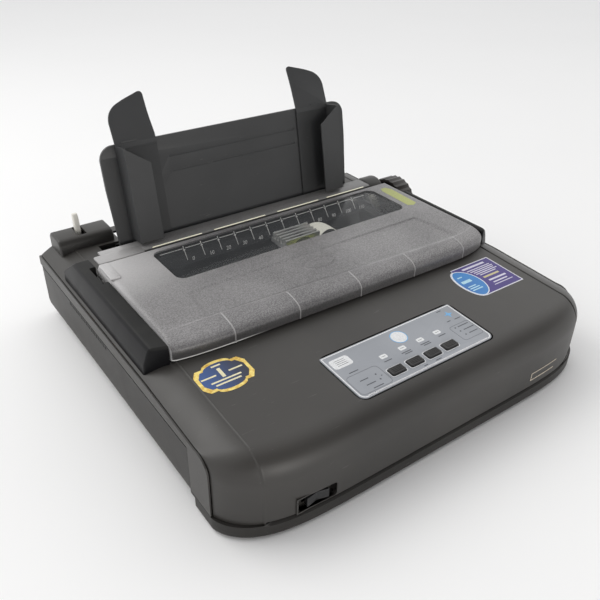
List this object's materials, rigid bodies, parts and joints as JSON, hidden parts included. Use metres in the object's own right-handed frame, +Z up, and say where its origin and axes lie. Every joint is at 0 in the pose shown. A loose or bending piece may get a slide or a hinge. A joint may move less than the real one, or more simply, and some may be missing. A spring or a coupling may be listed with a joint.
{
  "type": "desktop dot-matrix printer",
  "caption": "Desktop impact printer with a smoked hinged cover over a belt-driven print head, upright sheet guide with sliding edge guides, platen knob and button panel.",
  "frame": {"origin": "centre of the bounding box on the desk plane", "axes": "+X to the printer's right seen from the front, +Y to the rear where the sheet guide stands, +Z up"},
  "size_m": [0.403, 0.387, 0.2284],
  "materials": {
    "case_plastic": "fine-grained warm charcoal moulding",
    "black_trim": "satin black moulding",
    "guide_plastic": "fine-grained dark grey moulding",
    "smoked_plastic": "frosted smoke-grey translucent moulding",
    "clear_window": "clear polished plastic with a printed scale",
    "panel_plate": "silver-grey printed plate",
    "steel_sheet": "zinc-plated sheet",
    "polished_steel": "ground rod",
    "motor_metal": "dark plated steel",
    "head_metal": "cast and anodised",
    "platen_rubber": "ground rubber",
    "foot_rubber": "moulded rubber",
    "gear_plastic": "natural acetal",
    "grey_plastic": "grey acetal",
    "board_green": "lacquered circuit board",
    "supply_board": "paper-based circuit board",
    "cable_white": "laminated flat cable",
    "ribbon_ink": "inked woven nylon"
  },
  "bodies": {
    "chassis": {"lower_case": "case_plastic", "upper_case": "case_plastic", "cover_block_left": "black_trim", "cover_block_right": "black_trim", "tear_bar": "smoked_plastic", "control_panel_plate": "panel_plate", "panel_board": "board_green", "side_frame_left": "steel_sheet", "side_frame_right": "steel_sheet", "base_plate": "steel_sheet", "carriage_rail": "polished_steel", "rear_guide_rail": "steel_sheet", "feed_motor": "motor_metal", "ribbon_cartridge": "black_trim", "ribbon_band": "ribbon_ink", "timing_belt": "platen_rubber", "carriage_motor": "motor_metal", "head_flat_cable": "cable_white", "tractor_bar": "polished_steel", "main_board": "board_green", "power_supply": "supply_board", "mains_inlet": "black_trim", "parallel_port": "steel_sheet", "usb_port": "steel_sheet", "foot_front_left": "foot_rubber", "foot_front_right": "foot_rubber", "foot_rear_left": "foot_rubber", "foot_rear_right": "foot_rubber"},
    "printer_cover": {"printer_cover": "smoked_plastic", "cover_window": "clear_window"},
    "paper_guide": {"paper_guide": "guide_plastic"},
    "edge_guide_left": {"edge_guide_left": "guide_plastic"},
    "edge_guide_right": {"edge_guide_right": "guide_plastic"},
    "platen": {"platen_roller": "platen_rubber", "platen_shaft": "polished_steel", "platen_knob": "black_trim", "platen_gear": "gear_plastic"},
    "idler_gear": {"idler_gear": "gear_plastic"},
    "feed_pinion": {"feed_pinion": "gear_plastic"},
    "tractor_shaft": {"tractor_shaft": "polished_steel", "tractor_gear": "gear_plastic"},
    "carriage": {"carriage": "black_trim", "print_head": "motor_metal", "heat_sink": "head_metal"},
    "drive_pulley": {"drive_pulley": "grey_plastic"},
    "idler_pulley": {"idler_pulley": "grey_plastic"},
    "ribbon_winder": {"ribbon_winder": "grey_plastic"},
    "tractor_left": {"tractor_left": "black_trim"},
    "tractor_right": {"tractor_right": "black_trim"},
    "tractor_wheel_left": {"tractor_wheel_left": "gear_plastic"},
    "tractor_wheel_right": {"tractor_wheel_right": "gear_plastic"},
    "tractor_flap_left": {"tractor_flap_left": "black_trim"},
    "tractor_flap_right": {"tractor_flap_right": "black_trim"},
    "release_lever": {"release_lever": "gear_plastic"},
    "head_gap_lever": {"head_gap_lever": "grey_plastic"},
    "power_rocker": {"power_rocker": "black_trim"},
    "button_1": {"button_1": "black_trim"},
    "button_2": {"button_2": "black_trim"},
    "button_3": {"button_3": "black_trim"},
    "button_4": {"button_4": "black_trim"}
  },
  "joints": [
    {"name": "cover_hinge", "type": "hinge", "parent": "chassis", "child": "printer_cover", "pos_m": [-0.0015, 0.0795, 0.088], "axis": [-1, 0, 0], "range_deg": [0, 60]},
    {"name": "guide_tilt", "type": "hinge", "parent": "chassis", "child": "paper_guide", "pos_m": [-0.0015, 0.11881, 0.0731], "axis": [-1, 0, 0], "range_deg": [0, 40]},
    {"name": "edge_guide_left_slide", "type": "slide", "parent": "paper_guide", "child": "edge_guide_left", "axis": [1, 0, 0], "range_m": [-0.014, 0.075]},
    {"name": "edge_guide_right_slide", "type": "slide", "parent": "paper_guide", "child": "edge_guide_right", "axis": [1, 0, 0], "range_m": [-0.075, 0.018]},
    {"name": "platen_spin", "type": "hinge", "parent": "chassis", "child": "platen", "pos_m": [-0.0015, 0.0955, 0.066], "axis": [1, 0, 0], "continuous": true},
    {"name": "idler_spin", "type": "hinge", "parent": "chassis", "child": "idler_gear", "pos_m": [0.1555, 0.12358, 0.05544], "axis": [1, 0, 0], "continuous": true},
    {"name": "pinion_spin", "type": "hinge", "parent": "chassis", "child": "feed_pinion", "pos_m": [0.1555, 0.1175, 0.0385], "axis": [1, 0, 0], "continuous": true},
    {"name": "tractor_shaft_spin", "type": "hinge", "parent": "chassis", "child": "tractor_shaft", "pos_m": [-0.0015, 0.14537, 0.0585], "axis": [1, 0, 0], "continuous": true},
    {"name": "tractor_wheel_left_spin", "type": "hinge", "parent": "tractor_left", "child": "tractor_wheel_left", "pos_m": [-0.1015, 0.14537, 0.0585], "axis": [1, 0, 0], "continuous": true},
    {"name": "tractor_wheel_right_spin", "type": "hinge", "parent": "tractor_right", "child": "tractor_wheel_right", "pos_m": [0.1025, 0.14537, 0.0585], "axis": [1, 0, 0], "continuous": true},
    {"name": "tractor_left_slide", "type": "slide", "parent": "chassis", "child": "tractor_left", "axis": [1, 0, 0], "range_m": [-0.02, 0.06]},
    {"name": "tractor_right_slide", "type": "slide", "parent": "chassis", "child": "tractor_right", "axis": [1, 0, 0], "range_m": [-0.06, 0.02]},
    {"name": "tractor_flap_left_hinge", "type": "hinge", "parent": "tractor_left", "child": "tractor_flap_left", "pos_m": [-0.1107, 0.15537, 0.0681], "axis": [0, -1, 0], "range_deg": [0, 110]},
    {"name": "tractor_flap_right_hinge", "type": "hinge", "parent": "tractor_right", "child": "tractor_flap_right", "pos_m": [0.1117, 0.15537, 0.0681], "axis": [0, 1, 0], "range_deg": [0, 110]},
    {"name": "carriage_slide", "type": "slide", "parent": "chassis", "child": "carriage", "axis": [1, 0, 0], "range_m": [-0.124, 0.079]},
    {"name": "drive_pulley_spin", "type": "hinge", "parent": "chassis", "child": "drive_pulley", "pos_m": [-0.1395, 0.0195, 0.046], "axis": [0, 0, 1], "continuous": true},
    {"name": "idler_pulley_spin", "type": "hinge", "parent": "chassis", "child": "idler_pulley", "pos_m": [0.1365, 0.0195, 0.046], "axis": [0, 0, 1], "continuous": true},
    {"name": "ribbon_winder_spin", "type": "hinge", "parent": "chassis", "child": "ribbon_winder", "pos_m": [0.1105, -0.0085, 0.084], "axis": [0, 0, 1], "continuous": true},
    {"name": "release_lever_turn", "type": "hinge", "parent": "chassis", "child": "release_lever", "pos_m": [-0.1615, 0.1805, 0.07], "axis": [1, 0, 0], "range_deg": [0, 25]},
    {"name": "head_gap_lever_turn", "type": "hinge", "parent": "chassis", "child": "head_gap_lever", "pos_m": [-0.1475, 0.0685, 0.06], "axis": [1, 0, 0], "range_deg": [-12, 12]},
    {"name": "power_rocker_turn", "type": "hinge", "parent": "chassis", "child": "power_rocker", "pos_m": [-0.1325, -0.1885, 0.023], "axis": [0, 0, 1], "range_deg": [0, 12]},
    {"name": "button_1_press", "type": "slide", "parent": "chassis", "child": "button_1", "axis": [0, -0.0544, 0.9985], "range_m": [-0.0012, 0], "stiffness_N_per_m": 400},
    {"name": "button_2_press", "type": "slide", "parent": "chassis", "child": "button_2", "axis": [0, -0.0544, 0.9985], "range_m": [-0.0012, 0], "stiffness_N_per_m": 400},
    {"name": "button_3_press", "type": "slide", "parent": "chassis", "child": "button_3", "axis": [0, -0.0544, 0.9985], "range_m": [-0.0012, 0], "stiffness_N_per_m": 400},
    {"name": "button_4_press", "type": "slide", "parent": "chassis", "child": "button_4", "axis": [0, -0.0544, 0.9985], "range_m": [-0.0012, 0], "stiffness_N_per_m": 400}
  ],
  "couplings": [
    {"joint": "idler_spin", "follows": "platen_spin", "ratio": -1.5},
    {"joint": "pinion_spin", "follows": "platen_spin", "ratio": 3},
    {"joint": "tractor_shaft_spin", "follows": "platen_spin", "ratio": 1.8},
    {"joint": "tractor_wheel_left_spin", "follows": "platen_spin", "ratio": 1.8},
    {"joint": "tractor_wheel_right_spin", "follows": "platen_spin", "ratio": 1.8},
    {"joint": "drive_pulley_spin", "follows": "carriage_slide", "rad_per_m": -116.28},
    {"joint": "idler_pulley_spin", "follows": "carriage_slide", "rad_per_m": -116.28},
    {"joint": "ribbon_winder_spin", "follows": "carriage_slide", "rad_per_m": 20}
  ]
}
